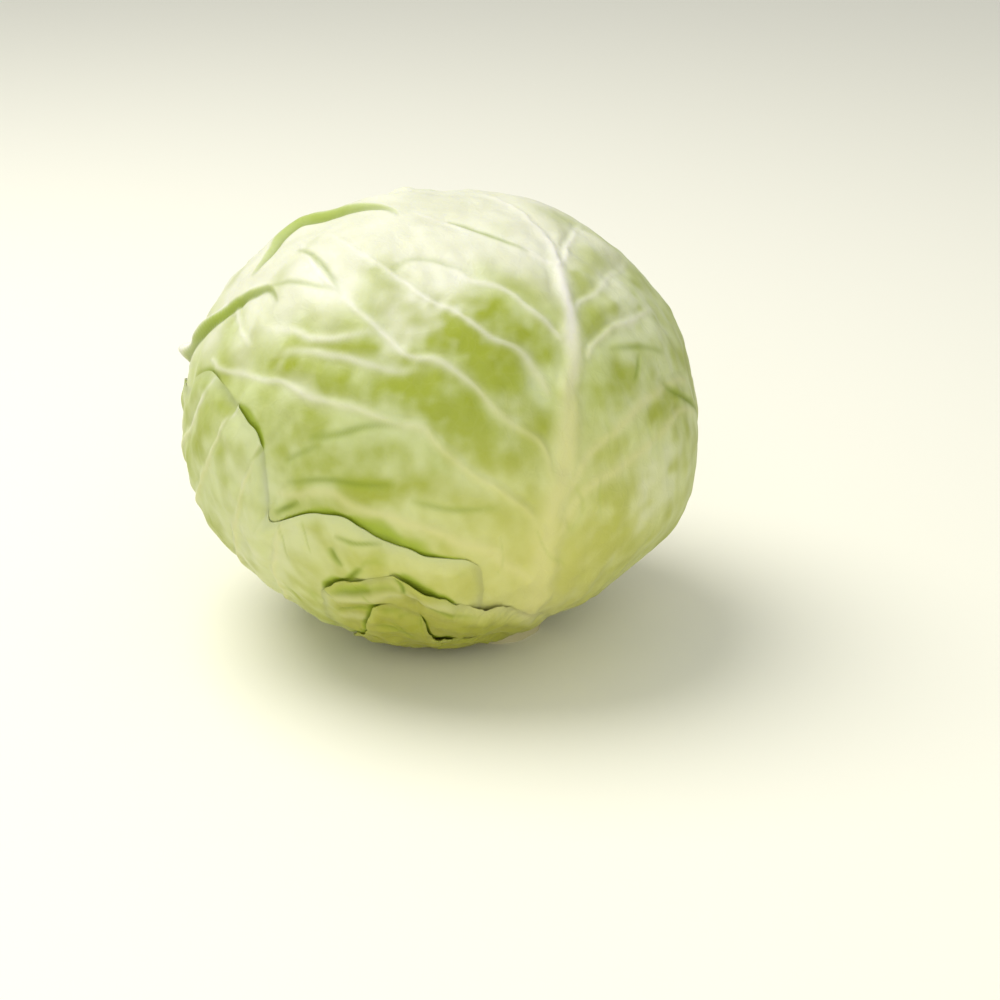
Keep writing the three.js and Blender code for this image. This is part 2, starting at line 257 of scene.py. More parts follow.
def ball_ways(rows, spokes):
    """Directions on rings round the stem's line, from the crown down to the stem."""
    rise = np.linspace(np.pi, 0, rows)[:, None, None]
    turn = np.linspace(0, 2 * np.pi, spokes, endpoint=False)[:, None]
    side = np.cos(turn) * stem_front + np.sin(turn) * stem_right
    return (np.cos(rise) * stem + np.sin(rise) * side).reshape(-1, 3)


def heart_finish():
    """Cream to pale yellow flesh, darker in its folds with painted shade."""
    finish = Finish("heart_leaves")
    folds = finish.noise(110.0, 4.0)
    colour = finish.mix(folds, (0.82, 0.78, 0.45, 1), (0.90, 0.88, 0.68, 1))
    normal = finish.bump(folds, 0.002, 0.6)
    finish.set(finish.shader, {"Base Color": colour, "Normal": normal, "Roughness": 0.5})
    return finish.material


heart_ways = ball_ways(HEART_ROWS, HEART_SPOKES)
heart_pucker = np.abs(ripples(heart_ways * HEART_RADIUS, PUCKER_SIZE, seed=5)) - 0.8
heart_radius = head_radius(heart_ways) - HEART_DEPTH + HEART_PUCKER * heart_pucker
heart_faces = [grid_quads(HEART_ROWS, HEART_SPOKES, wrap=True)]
make_piece("heart", heart_ways * heart_radius[:, None], heart_faces, heart_finish())

# ---- Inner leaves ----
# Broad pale leaves packed over the heart, each turned 137.5 degrees from the last round the
# stem. Each is two sheets, joined all round its rim, that follow the leaves under it.

INNER_COUNT = 12
INNER_RISE = 92.0                              # degrees from the stem to a leaf's middle
INNER_ROOM, INNER_GAP = 25.5, 0.5              # mm, all the leaves together, and under each
INNER_BRIDGE = (-6.0, -1.0)                    # degrees outside a margin, where leaves over it lift
INNER_RIM, INNER_TAPER = 0.4, 6.0              # part of the thickness left at the margin, degrees
INNER_RIB = 3.5                                # degrees, half breadth of the midrib
INNER_STEPS = 72                               # mesh squares across a leaf
LEAF_TURN = 137.5                              # degrees from each leaf to the next
GRID_TURN = np.radians(-30.0)                  # keeps the bent rows of the leaf grid off the folds
PATTERN_RADIUS = 85.0                          # mm, of the sphere that unevenness is laid out on
CLINGING, STANDING = 0.4, 1.4                  # degrees of crevice by a margin that does so
OUTLINE_WAVES = (7, 12, 19, 31, 47, 70)        # numbers of fine waves round an outline
# Outline of a leaf that is broad at its tip: bearing and reach in degrees.
BROAD_OUTLINE = [
    (0, 86), (40, 84), (80, 80), (120, 76), (155, 74), (171, 86), (180, 97), (189, 86),
    (205, 74), (240, 76), (280, 82), (320, 86)]


class Leaf:
    """A leaf's place, outline and features. Its middle stands rise degrees up from the stem and
    turn degrees round it. Its outline lists bearings clockwise from the tip and reaches, both
    in degrees, and is drawn in a plane with x to the right and y toward the tip. Its gape lists
    bearings and how many degrees the crevice beyond the margin is wide there.

    ragged is the height in degrees of fine waves in the outline, ruffle in mm of waves in the
    margin, crinkle that of wrinkles, swell that of the blade between the veins, and ripe where
    in x the blade is yellowest. veins, folds and slits are curves with what each needs. patches
    are places of another green and swells are single bumps, both in the leaf's plane."""

    def __init__(self, name, rise, turn, outline, seed, ragged=0.35, ruffle=0.3, crinkle=0.6,
                 swell=0.9, ripe=0, gape=((0, 1.6),), veins=(), folds=(), slits=(), patches=(),
                 swells=()):
        self.middle = stem_way(rise, turn)
        self.tipward = unit(-stem + (stem @ self.middle) * self.middle)
        self.rightward = np.cross(self.tipward, self.middle)
        self.bearings, self.reaches = np.array(outline, float).T
        self.gape = np.array(gape, float).T
        self.name, self.seed = name, seed
        self.ragged, self.ruffle, self.crinkle = ragged, ruffle, crinkle
        self.swell, self.ripe = swell, ripe
        self.veins, self.folds, self.slits = veins, folds, slits
        self.patches, self.swells = patches, swells

    def reach(self, bearing):
        """A smooth closed curve through the outline's points, with each point's slope that of
        its two neighbours, and a few fine waves round it, n of them at 1 / sqrt(n) the height."""
        count = len(self.bearings)
        place = np.searchsorted(self.bearings, bearing % 360, side="right") - 1
        steps = [(place + step) % count for step in (-1, 0, 1, 2)]
        laps = [(place + step) // count * 360 for step in (-1, 0, 1, 2)]
        at = [self.bearings[step] + lap for step, lap in zip(steps, laps)]
        value = [self.reaches[step] for step in steps]
        width = at[2] - at[1]
        s = (bearing % 360 - at[1]) / width
        start = (value[2] - value[0]) / (at[2] - at[0]) * width
        end = (value[3] - value[1]) / (at[3] - at[1]) * width
        curve = ((2 * s**3 - 3 * s**2 + 1) * value[1] + (s**3 - 2 * s**2 + s) * start
                 + (3 * s**2 - 2 * s**3) * value[2] + (s**3 - s**2) * end)
        turn = np.radians(bearing)
        waves = sum(np.sin(n * turn + n * self.seed) / n**0.5 for n in OUTLINE_WAVES)
        return curve + self.ragged * waves

    def ways(self, x, y):
        """Directions of points of the leaf's plane, which keeps bearings and reaches true."""
        reach = np.radians(np.hypot(x, y))
        spread = np.sin(reach) / np.maximum(np.hypot(x, y), 1e-9)
        side = x[:, None] * self.rightward + y[:, None] * self.tipward
        return np.cos(reach)[:, None] * self.middle + spread[:, None] * side

    def plane(self, ways):
        """Places of directions in the leaf's plane."""
        reach = np.degrees(np.arccos(np.clip(ways @ self.middle, -1, 1)))
        bearing = np.arctan2(ways @ self.rightward, ways @ self.tipward)
        return reach * np.sin(bearing), reach * np.cos(bearing)

    def inside(self, ways):
        """How many degrees directions lie inside the outline, below zero outside it."""
        x, y = self.plane(ways)
        return self.reach(np.degrees(np.arctan2(x, y))) - np.hypot(x, y)

    def crevice(self, ways):
        """Width in degrees of the crevice beyond the margin, in each direction's bearing, and
        how free the margin is: 0 where it clings to the leaf below, 1 where it stands off."""
        x, y = self.plane(ways)
        width = np.interp(np.degrees(np.arctan2(x, y)) % 360, *self.gape, period=360)
        free = smooth(CLINGING, STANDING, width)
        uneven = 1 + 0.35 * ripples(ways * PATTERN_RADIUS, 14, self.seed + 50)
        return np.maximum(width * uneven, CLINGING), free


def disc_grid(steps):
    """A square grid bent onto a disc with equal areas: squares round the middle become rings."""
    line = np.linspace(-1, 1, steps + 1)
    a, b = [part.ravel() for part in np.meshgrid(line, line, indexing="ij")]
    wide = np.abs(a) > np.abs(b)
    radius = np.where(wide, a, b)
    slant = np.where(wide, b, a) / np.where(radius == 0, 1, radius) * np.pi / 4
    x = radius * np.where(wide, np.cos(slant), np.sin(slant))
    y = radius * np.where(wide, np.sin(slant), np.cos(slant))
    return x, y


def square_rim(steps):
    """Numbers of the grid points round the square's edge, counter-clockwise."""
    side, span = steps + 1, np.arange(steps)
    return np.concatenate([
        span * side, steps * side + span, (steps - span) * side + steps, steps - span])


def leaf_sheet(leaf, steps):
    """The disc grid, turned and stretched to the leaf's outline: directions of its points."""
    x, y = disc_grid(steps)
    bearing = np.arctan2(x, y) + GRID_TURN
    reach = np.hypot(x, y) * leaf.reach(np.degrees(bearing))
    return leaf.ways(reach * np.sin(bearing), reach * np.cos(bearing))


def make_leaf(leaf, steps, lay, material):
    """An outer sheet, an inner sheet at half its fineness, and a strip of three triangles for
    each inner edge that joins them round the rim. lay gives the radii and tints of a sheet."""
    outer_ways, inner_ways = leaf_sheet(leaf, steps), leaf_sheet(leaf, steps // 2)
    outer_radius, _, tints = lay(leaf, outer_ways)
    _, inner_radius, inner_tints = lay(leaf, inner_ways)
    points = np.concatenate([
        outer_ways * outer_radius[:, None], inner_ways * inner_radius[:, None]])
    first = len(outer_ways)
    rim, back = square_rim(steps), square_rim(steps // 2) + first
    here, half, there = rim[0::2], rim[1::2], np.roll(rim[0::2], -1)
    under, next_under = back, np.roll(back, -1)
    faces = [
        grid_quads(steps + 1, steps + 1),
        grid_quads(steps // 2 + 1, steps // 2 + 1)[:, ::-1] + first,
        np.stack([half, here, under], axis=1),
        np.stack([there, half, next_under], axis=1),
        np.stack([half, under, next_under], axis=1)]
    tints = {tint: np.concatenate([tints[tint], inner_tints[tint]]) for tint in tints}
    make_piece(leaf.name, points, faces, material, tints)


def lay_inner(leaf, ways):
    """Each leaf lies on the heart and the leaves under it, and all together fill the room:
    the pitch at a point is the room over the number of leaves there."""
    covers = [smooth(*INNER_BRIDGE, other.inside(ways)) for other in inner_leaves]
    pitch = INNER_ROOM / np.maximum(sum(covers), 1)
    below = sum(covers[:inner_leaves.index(leaf)], np.zeros(len(ways)))
    inner = head_radius(ways) - HEART_DEPTH + INNER_GAP + pitch * below
    whole = smooth(0, INNER_TAPER, leaf.inside(ways))
    thick = (pitch - INNER_GAP) * (INNER_RIM + (1 - INNER_RIM) * whole)
    x, y = leaf.plane(ways)
    rib = bell(x, INNER_RIB) * smooth(60, -60, y)
    return inner + thick, inner, {"rib": rib}


def inner_finish():
    """Pale blotched flesh with a cream midrib, slightly clear."""
    finish = Finish("inner_leaf_flesh")
    blotch = finish.noise(50.0, 3.0)
    blade = finish.mix(blotch, (0.74, 0.76, 0.42, 1), (0.86, 0.86, 0.62, 1))
    colour = finish.mix(finish.tint("rib"), blade, (0.90, 0.89, 0.74, 1))
    normal = finish.bump(finish.noise(180.0, 4.0), 0.001, 0.5)
    sockets = {"Base Color": colour, "Normal": normal, "Roughness": 0.45, "Subsurface Weight": 0.2,
               "Subsurface Radius": (1.0, 0.9, 0.4), "Subsurface Scale": 0.003}
    finish.set(finish.shader, sockets)
    return finish.material


inner_leaves = [
    Leaf(f"inner_leaf_{number + 1}", INNER_RISE, number * LEAF_TURN, BROAD_OUTLINE, seed=number + 20)
    for number in range(INNER_COUNT)]
inner_flesh = inner_finish()
for inner_leaf in inner_leaves:
    make_leaf(inner_leaf, INNER_STEPS, lay_inner, inner_flesh)

# ---- Wrapper leaves and torn bases ----
# The large green leaves of the outside, and the bases of three that were torn off. Each has
# a thick whitish midrib that runs from the stump toward the tip, side veins that branch from
# it, a blade that swells between them, and a thin uneven margin.

WRAPPER_PITCH, WRAPPER_GAP = 1.8, 0.5          # mm, a leaf with the gap under it, and the gap
WRAPPER_ROOM = 7.2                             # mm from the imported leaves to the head's form
WRAPPER_MOST = 4                               # where more leaves lie together, they thin
PRESSED_THICK, PRESSED_GAP = 0.9, 0.35         # mm, a leaf and a gap on the flat spot
RIM_THICK, RIM_GAP = 0.4, 0.1                  # mm at the margin, and under it
RIM_PART = 0.05                                # what of both is left where the margin clings
RIM_TAPER = 6.0                                # degrees from the margin to the whole thickness
BRIDGE = (-12.0, -0.5)                         # degrees outside a margin, where leaves over it lift
BLEND = 7.0                                    # degrees over which a clinging leaf takes its tints
STEM_TUCK, TUCK_FROM, TUCK_TO = 7.0, 10.5, 7.5  # mm in at the stem, over degrees from it
LEAF_STEPS, TORN_STEPS = 280, 120              # mesh squares across a leaf

# Streaks are laid out round the stem's line: radius in mm, and mm for each degree up from it.
STREAK_RADIUS, STREAK_SQUEEZE = 60.0, 0.45
# Unevenness of the blade: how wide in mm, and how high or deep in mm.
WAVE_SIZE, WAVE_HEIGHT = 26.0, 0.3
STREAK_SIZE, STREAK_HEIGHT = 8.0, 0.2
FINE_SIZE, FINE_HEIGHT = 3.2, 0.04
KNOB_SIZE, KNOB_HEIGHT = 8.0, 0.15
WRINKLE_SIZE, WRINKLE_DEPTH = 15.0, 0.3
RUFFLE_SIZE, RUFFLE_REACH = 16.0, 7.0          # mm, and degrees in from the margin
# Ribs: how far their lines wander in degrees and over how many mm, and how uneven they are.
WANDER, WANDER_SIZE = 0.4, 16.0
RIB_UNEVEN, RIB_UNEVEN_SIZE = 0.18, 11.0
# Folds and slits: heights as parts of the feature's own, and degrees over which they sink back.
FLANK_SINK = 7.0
LIP_HEIGHT, LIP_SINK = 0.35, 2.5
NOTCH_DEPTH, NOTCH_WIDTH = 0.3, 1.3
BANK_HEIGHT, CUT_DEPTH = 0.7, 1.4
CREVICE_LIFT, CREVICE_SINK = 0.9, 12.0         # mm, and degrees over which it sinks back
# How green the blade is, from 0 to 1: everywhere, more between the ribs, less at the margin,
# and in the patches for each unit of their strength.
GREEN, GREEN_BETWEEN, GREEN_LOST, GREEN_PATCH = 0.39, 0.15, 0.4, 0.62
TINTS = ["rib", "green", "yellow", "crown", "bloom", "shade", "dark_shade", "rim", "torn"]


class Curve:
    """A smooth line through a few points of a leaf's plane, as short straight pieces, with
    widths in degrees and heights in mm at even steps from its start to its end."""

    def __init__(self, points, width, height, pieces=5):
        """The cubic through each two points whose slopes there are half the way between the
        points beside them, cut into pieces."""
        points = np.array(points, float)
        before, after = 2 * points[0] - points[1], 2 * points[-1] - points[-2]
        padded = np.concatenate([[before], points, [after]])
        s = np.linspace(0, 1, pieces, endpoint=False)[:, None]
        spans = []
        for p0, p1, p2, p3 in zip(padded, padded[1:], padded[2:], padded[3:]):
            spans.append(0.5 * (2 * p1 + (p2 - p0) * s + (2 * p0 - 5 * p1 + 4 * p2 - p3) * s**2
                                + (3 * p1 - p0 - 3 * p2 + p3) * s**3))
        self.line = np.concatenate(spans + [points[-1:]])
        self.width, self.height = width, height

    def near(self, x, y):
        """Distance to the line, the part of its length at the nearest place, and the distance
        square to it, positive on the tip's side."""
        best = np.full(len(x), np.inf)
        part, across = np.zeros((2, len(x)))
        hand = 1 if self.line[-1, 0] >= self.line[0, 0] else -1
        lengths = np.hypot(*np.diff(self.line, axis=0).T)
        starts = np.concatenate([[0], np.cumsum(lengths)])
        for start, (px, py), (qx, qy), length in zip(starts, self.line, self.line[1:], lengths):
            ux, uy = (qx - px) / length, (qy - py) / length
            along = np.clip((x - px) * ux + (y - py) * uy, 0, length)
            dx, dy = x - px - along * ux, y - py - along * uy
            away = dx * dx + dy * dy
            closer = away < best
            best[closer] = away[closer]
            part[closer] = ((start + along) / starts[-1])[closer]
            across[closer] = (hand * (ux * dy - uy * dx))[closer]
        return np.sqrt(best), part, across

    def at(self, values, part):
        """The value at a part of the length, from values at even steps along it."""
        return np.interp(part, np.linspace(0, 1, len(values)), values)


def branching_veins(rise, lean, pairs, seed):
    """A midrib from the stem to near the tip, leaning lean degrees to the right, and pairs of
    side veins that leave it low down at a wide angle and bend toward the tip."""
    rng = np.random.default_rng(seed)
    midrib = [
        (0, -rise), (0.25 * lean, -0.5 * rise), (0.6 * lean, 0), (lean, 45), (1.3 * lean, 72)]
    veins = [Curve(midrib, (3.6, 0.7), (2.0, 0.4))]
    for number in range(2 * pairs):
        hand = 1 if number % 2 else -1
        start = np.interp(number, [0, 2 * pairs], [0.42 * -rise, 48]) + rng.uniform(-3, 3)
        length = np.interp(start, [-50, 50], [78, 34])
        root = np.interp(start, [-0.5 * rise, 0, 45], [0.25 * lean, 0.6 * lean, lean])
        bend = [(0, 0), (0.3, 0.2), (0.62, 0.5), (0.95, 0.9)]
        points = [(root + hand * a * length, start + b * length * 0.75 + rng.uniform(-1.5, 1.5) * a)
                  for a, b in bend]
        veins.append(Curve(points, (1.25, 0.45), (0.9, 0.15)))
    return veins


# Ribs of the front leaf: points, half widths in degrees and heights in mm along it.
FRONT_VEINS = [
    Curve([(0, -98), (2, -70), (4, -50), (7, -34), (14, -16), (20, -2), (26, 12), (30, 23), (34, 32)],
          (3.8, 3.8, 3.9, 2.4, 1.7), (2.0, 1.8, 1.5, 1.3, 1.1)),
    Curve([(34, 32), (37, 44), (37, 58), (33, 72)], (1.6, 0.9), (1.0, 0.2)),
    Curve([(34, 31), (42, 38), (51, 44), (60, 49)], (1.1, 0.9), (0.2, 0.6, 0.3, 0.1)),
    Curve([(34, 31), (28, 38), (21, 47), (12, 56), (5, 62)], (1.0, 0.8), (0.4, 0.2)),
    Curve([(24, 12), (21, 17), (17, 25), (14, 29), (8, 33), (2, 41), (-3, 43), (-9, 45)],
          (1.0, 0.8), (0.65, 0.1)),
    Curve([(16, 2), (15, 6), (11, 14), (5, 20), (-1, 28), (-5, 34), (-11, 43), (-18, 54), (-22, 62)],
          (1.05, 0.8), (0.65, 0.15)),
    Curve([(11, -15), (10, -8), (5, -1), (1, 6), (-4, 13), (-11, 18), (-17, 27), (-21, 34), (-26, 45),
           (-31, 59), (-33, 68)], (1.1, 0.8), (0.8, 0.2)),
    Curve([(7, -28), (3, -20), (-3, -13), (-9, -6), (-14, 1), (-21, 6), (-29, 11), (-36, 16), (-44, 22),
           (-54, 27), (-64, 34)], (1.15, 0.8), (0.85, 0.3)),
    Curve([(3, -42), (-4, -32), (-12, -25), (-19, -20), (-30, -13), (-40, -7), (-50, -6)],
          (2.0, 1.2), (0.7, 0.3)),
    Curve([(28, 16), (33, 20), (43, 23), (56, 28), (66, 32)], (1.0, 0.8), (0.35, 0.1)),
    Curve([(28, 7), (32, 10), (40, 12), (50, 13), (60, 15)], (0.9, 0.9), (0.5, 0.9, 0.4, 0.1)),
    Curve([(13, -22), (19, -16), (28, -11), (37, -8), (53, -6), (64, -7)], (1.6, 1.2), (0.6, 0.4)),
    Curve([(11, -30), (19, -22), (31, -20), (41, -17), (56, -14), (66, -17)], (1.6, 1.1), (0.5, 0.3)),
    Curve([(-16, 26), (-24, 27), (-32, 28), (-39, 34), (-45, 38)], (1.2, 1.1), (0.1, 0.45, 0.15)),
    Curve([(-9, 14), (-16, 16), (-27, 22), (-33, 25), (-42, 28)], (1.2, 1.1), (0.1, 0.4, 0.15)),
    Curve([(-56, 50), (-54, 42), (-51, 34)], (1.0, 0.8), (0.4, 0.2)),
    Curve([(-60, 52), (-72, 49), (-84, 46)], (1.2, 2.5), (0.4, 2.4)),
]
# Folds of the front leaf, where the blade rises steeply beyond a lip: points, widths and heights
# of the flank, and how strongly the flank is painted with shade green.
FRONT_FOLDS = [
    (Curve([(-1, 63), (-6, 70), (-12, 74), (-22, 77), (-31, 79), (-38, 76), (-44, 69), (-50, 60)],
           (2.2, 3.6, 2.6), (1.5, 1.8, 1.3)), 1.0),
    (Curve([(-40, 43), (-43, 49), (-48, 50), (-56, 50), (-65, 48), (-74, 45), (-86, 42)],
           (2.4, 2.8, 2.6), (1.5, 1.6, 1.5)), 1.0),
]
# Short creases of the front leaf: points, half widths and depths.
FRONT_SLITS = [
    Curve([(-38, 6), (-31, 5), (-24, 5), (-17, 3)], (0.9, 0.8), (0.4, 0.2)),
    Curve([(-46, 2), (-41, 3), (-35, 4)], (0.8, 0.8), (0.25, 0.2)),
    Curve([(-47, -3), (-37, -4), (-29, -7), (-22, -9)], (0.8, 0.9), (0.3, 0.35)),
    Curve([(-20, -13), (-13, -17), (-7, -19), (-1, -20)], (0.8, 0.8), (0.25, 0.15)),
    Curve([(-53, -10), (-49, -9), (-45, -8)], (0.8, 0.8), (0.4, 0.5)),
    Curve([(35, 7), (42, 6), (47, 5), (55, 2)], (0.8, 0.8), (0.3, 0.25)),
    Curve([(44, 4), (42, 1), (39, -2)], (0.8, 0.8), (0.25, 0.35)),
    Curve([(50, -5), (55, -9), (63, -13), (70, -18)], (0.8, 0.8), (0.5, 0.6)),
    Curve([(-34, 64), (-28, 54), (-25, 46), (-23, 37)], (0.8, 0.8), (0.35, 0.2)),
    Curve([(-42, 50), (-33, 46), (-24, 40)], (0.8, 0.8), (0.25, 0.2)),
    Curve([(-10, 42), (-5, 44), (0, 43), (5, 39), (9, 36)], (0.9, 0.9), (0.15, 0.15)),
    Curve([(12, 58), (18, 51), (24, 43), (28, 38)], (0.7, 0.7), (0.4, 0.3)),
]
# Greener and paler places of the front leaf: x, y, half length, half breadth, slant, and how
# much greener.
FRONT_PATCHES = [
    (-1, 24, 13, 8, -40, 0.45), (-5, 32, 8, 5, -40, 0.35), (-12, 46, 8, 5, -40, 0.3),
    (18, 14, 7, 5, 40, 0.35), (24, 1, 4, 5, 0, 0.3), (-39, 9, 12, 8, -20, -0.15),
    (50, 14, 15, 11, 0, -0.6), (38, -28, 13, 9, 30, -0.65), (-54, -4, 10, 8, 0, -0.25),
    (-46, 45, 7, 7, 0, -0.4), (42, -7, 10, 5, 15, -0.3), (7, 1, 5, 5, 0, -0.3),
    (2, 17, 12, 5, -52, 0.3), (13, 18, 10, 5, -50, 0.5), (-7, 25, 8, 4, -50, 0.25),
    (-9, 5, 15, 6, -45, 0.55), (-26, 14, 11, 4, -32, 0.45), (-11, 17, 6, 4, -50, 0.3),
    (-20, 22, 9, 3, -15, 0.3), (-38, 26, 7, 4, -10, 0.5), (-5, -2, 9, 5, -50, 0.15),
    (38, 29, 6, 4, 30, 0.35), (36, 15, 6, 4, 20, 0.2), (32, -3, 8, 4, 15, 0.35),
    (26, -15, 6, 3, 25, 0.3), (46, -10, 9, 4, 15, 0.35), (26, -32, 13, 7, 55, 0.5),
    (0, -32, 5, 10, 10, 0.35), (-25, -9, 10, 3, -15, 0.4), (-30, -1, 9, 3, 0, 0.3)]
# Spur at the end of the lower fold of the front leaf: x, y, spread in degrees, height in mm.
FRONT_SWELLS = [(-82, 47, 3.5, 5.0)]
# Crevice beyond the margin of the lower left leaf: bearing, width.
LOWER_GAPE = [
    (0, 0.4), (14, 0.5), (20, 1.0), (32, 1.0), (38, 0.4), (43, 0.5), (46, 2.4), (55, 2.0), (58, 0.4),
    (68, 0.4), (71, 2.0), (76, 2.0), (81, 3.4), (88, 4.6), (96, 4.2), (103, 2.4), (110, 1.4),
    (113, 0.6), (117, 0.4), (240, 0.4), (300, 0.8)]
# Its creases and its greener and paler places, listed as on the front leaf.
LOWER_SLITS = [
    Curve([(57, 3), (56, 0), (56, -3)], (0.9, 0.8), (0.5, 0.4)),
    Curve([(59, -6), (53, -6.5), (47, -5)], (1.0, 0.8), (0.8, 0.4)),
    Curve([(60, 5), (62, 2), (64, -1), (67, -5)], (0.6, 0.6), (0.35, 0.35)),
]
LOWER_PATCHES = [(35, 10, 28, 16, 10, -0.35), (42, 33, 10, 8, 45, -0.2), (66, -28, 14, 8, -60, 0.35)]

# Torn base at the front: crevice beyond its margin, its curls, rolled edge, and small tears.
TORN_FRONT_GAPE = [
    (0, 1.0), (4, 2.2), (14, 2.4), (24, 1.6), (30, 0.6), (34, 0.4), (120, 0.4), (290, 0.4), (325, 0.6),
    (332, 1.8), (343, 1.8), (348, 0.6), (356, 0.6)]
# Its first rib is a low ridge whose pale rib colour also paints a highlight along it.
TORN_FRONT_VEINS = [
    Curve([(-22, 24), (-17, 26), (-12, 26.5), (-7, 26), (-2, 25)], (1.6, 2.2, 1.8), (0.6, 1.0, 0.6)),
    Curve([(0, 27), (3, 24), (7, 19), (13, 15)], (1.8, 2.2), (0.6, 0.4)),
    Curve([(-18, 18), (-12, 18), (-5, 15)], (1.6, 1.6), (0.5, 0.3))]
# Its rolled edge is a fold whose flank is painted with shade green, as strongly as its last number.
TORN_FRONT_FOLDS = [
    (Curve([(-17, 28), (-11, 28.5), (-5, 28.3), (0, 27.5)], (2.6, 2.8), (0.8, 0.6)), 0.9)]
TORN_FRONT_SLITS = [
    Curve([(0, 31), (1, 29), (0, 26)], (0.6, 0.6), (0.8, 0.6)),
    Curve([(-20, 20), (-14, 22), (-8, 21), (-3, 20)], (0.7, 0.7), (0.3, 0.4)),
    Curve([(4, 21), (9, 15), (14, 11)], (0.7, 0.7), (0.35, 0.3))]
# Torn base at the left: crevice beyond its margin, and creases.
TORN_LEFT_GAPE = [
    (0, 2.4), (8, 2.0), (15, 0.8), (20, 0.4), (31, 0.4), (36, 2.5), (45, 4.0), (57, 3.0), (70, 1.0),
    (120, 0.4), (300, 0.4), (330, 2.2)]
TORN_LEFT_SLITS = [
    Curve([(9, 24), (12, 23), (15, 20)], (0.7, 0.7), (0.6, 0.4)),
    Curve([(2, 23), (5, 18), (6, 12)], (0.7, 0.7), (0.3, 0.2))]

outer_leaves = [
    Leaf("wrapper_leaf_back", 95, 178, BROAD_OUTLINE, 1, veins=branching_veins(95, 4, 6, 1)),
    Leaf("wrapper_leaf_left", 95, -98, BROAD_OUTLINE, 2, veins=branching_veins(95, -5, 6, 2)),
    Leaf("wrapper_leaf_right", 95, 62, BROAD_OUTLINE, 3, veins=branching_veins(95, 6, 6, 3)),
    Leaf("wrapper_leaf_front", 98, 15, [
        (0, 92), (40, 92), (80, 91), (105, 88), (135, 84), (158, 84), (171, 92), (180, 101),
        (189, 92), (204, 84), (235, 80), (265, 84), (290, 94), (320, 96)], 4,
        gape=((0, 1.6), (50, 1.6), (70, 0.4), (125, 0.4), (145, 1.6)), veins=FRONT_VEINS,
        folds=FRONT_FOLDS, slits=FRONT_SLITS, patches=FRONT_PATCHES, swells=FRONT_SWELLS),
    Leaf("wrapper_leaf_back_left", 86, -152, [
        (0, 66), (45, 62), (85, 58), (125, 62), (155, 68), (170, 78), (180, 88), (190, 78),
        (205, 68), (240, 64), (290, 62), (325, 66)], 5, veins=branching_veins(86, -6, 5, 5)),
    Leaf("wrapper_leaf_right_back", 84, 132, [
        (0, 46), (45, 57), (90, 62), (130, 64), (155, 68), (170, 77), (180, 86), (190, 76),
        (206, 60), (235, 48), (262, 36), (288, 28), (325, 33)], 6,
        gape=((0, 0.4), (60, 1.4), (120, 1.2), (180, 0.4)),
        veins=branching_veins(84, 5, 5, 6)),
    Leaf("wrapper_leaf_lower_left", 62, -85, [
        (0, 50), (16, 52), (26, 60), (44, 62), (56, 61), (66, 53), (71, 48), (77, 58), (84, 65),
        (92, 67), (103, 73), (112, 79), (128, 70), (150, 54), (165, 57), (180, 65), (195, 57),
        (212, 56), (238, 62), (270, 62), (315, 50)], 7,
        ragged=0.6, crinkle=1.0, ripe=80, gape=LOWER_GAPE, veins=branching_veins(62, 8, 4, 7),
        slits=LOWER_SLITS, patches=LOWER_PATCHES),
    Leaf("torn_leaf_base_back", 32, 160, [
        (0, 22), (35, 26), (70, 22), (120, 27), (180, 36), (240, 27), (290, 24), (330, 26)], 8,
        ragged=0.7, ruffle=0.3, crinkle=1.8, swell=0.3, gape=((0, 0.9),)),
    Leaf("torn_leaf_base_front", 36, -14, [
        (0, 31), (25, 22), (60, 20), (120, 26), (180, 40), (240, 28), (300, 28), (330, 34)], 9,
        ragged=0.8, ruffle=0.5, crinkle=1.8, swell=0.3, gape=TORN_FRONT_GAPE, veins=TORN_FRONT_VEINS,
        folds=TORN_FRONT_FOLDS, slits=TORN_FRONT_SLITS),
    Leaf("torn_leaf_base_left", 30, -30, [
        (0, 23), (14, 30), (25, 28), (32, 25), (36, 18), (43, 12), (70, 11), (120, 20), (180, 34),
        (240, 23), (290, 18), (340, 18)], 10,
        ragged=0.8, ruffle=0.5, crinkle=1.8, swell=0.3, gape=TORN_LEFT_GAPE, slits=TORN_LEFT_SLITS),
]


def rib_relief(leaf, x, y, uneven):
    """Height of the ribs less their grooves, how pale the leaf is along them, and how near they
    are, from 0 to 1. A rib is height x e^-(away / width)^n across its line, with n 2 where it
    is slim and more where it is broad and flat. A slim one is steeper on the tip's side, with
    a groove beyond. Where ribs meet, the cubes of their heights add up."""
    ribs, grooves, pale, near = np.zeros((4, len(x)))
    for vein in leaf.veins:
        away, part, across = vein.near(x, y)
        width, height = vein.at(vein.width, part), vein.at(vein.height, part)
        slim = 1 - smooth(1.7, 2.4, width)
        lean = 1 - 0.25 * slim * smooth(0.8, 1.1, width) * np.tanh(2 * across / width)
        ridge = height * uneven * np.exp(-((away / (width * lean)) ** (3.4 - 1.4 * slim)))
        past_end = np.exp((across**2 - away**2) / width**2)
        groove = 0.3 * height * slim * past_end * bell(across - 1.8 * width, 0.6 * width)
        ribs, grooves = np.cbrt(ribs**3 + ridge**3), np.maximum(grooves, groove)
        band = 0.8 * bell(away, 0.85 * width) + 0.2 * bell(away, 1 + width)
        strength = (0.55 + 0.45 * smooth(1, 2, width)) * smooth(0, 0.4, height)
        pale = np.maximum(pale, strength * band)
        near = np.maximum(near, smooth(1.05, 0.75, part) * bell(away, 2 + 2 * width))
    return ribs - grooves, pale, near


def ends_taper(part):
    """sqrt(sin(pi part)), which is 0 at both ends of a line and 1 at its middle."""
    return np.sqrt(np.clip(np.sin(np.pi * part), 0, 1))


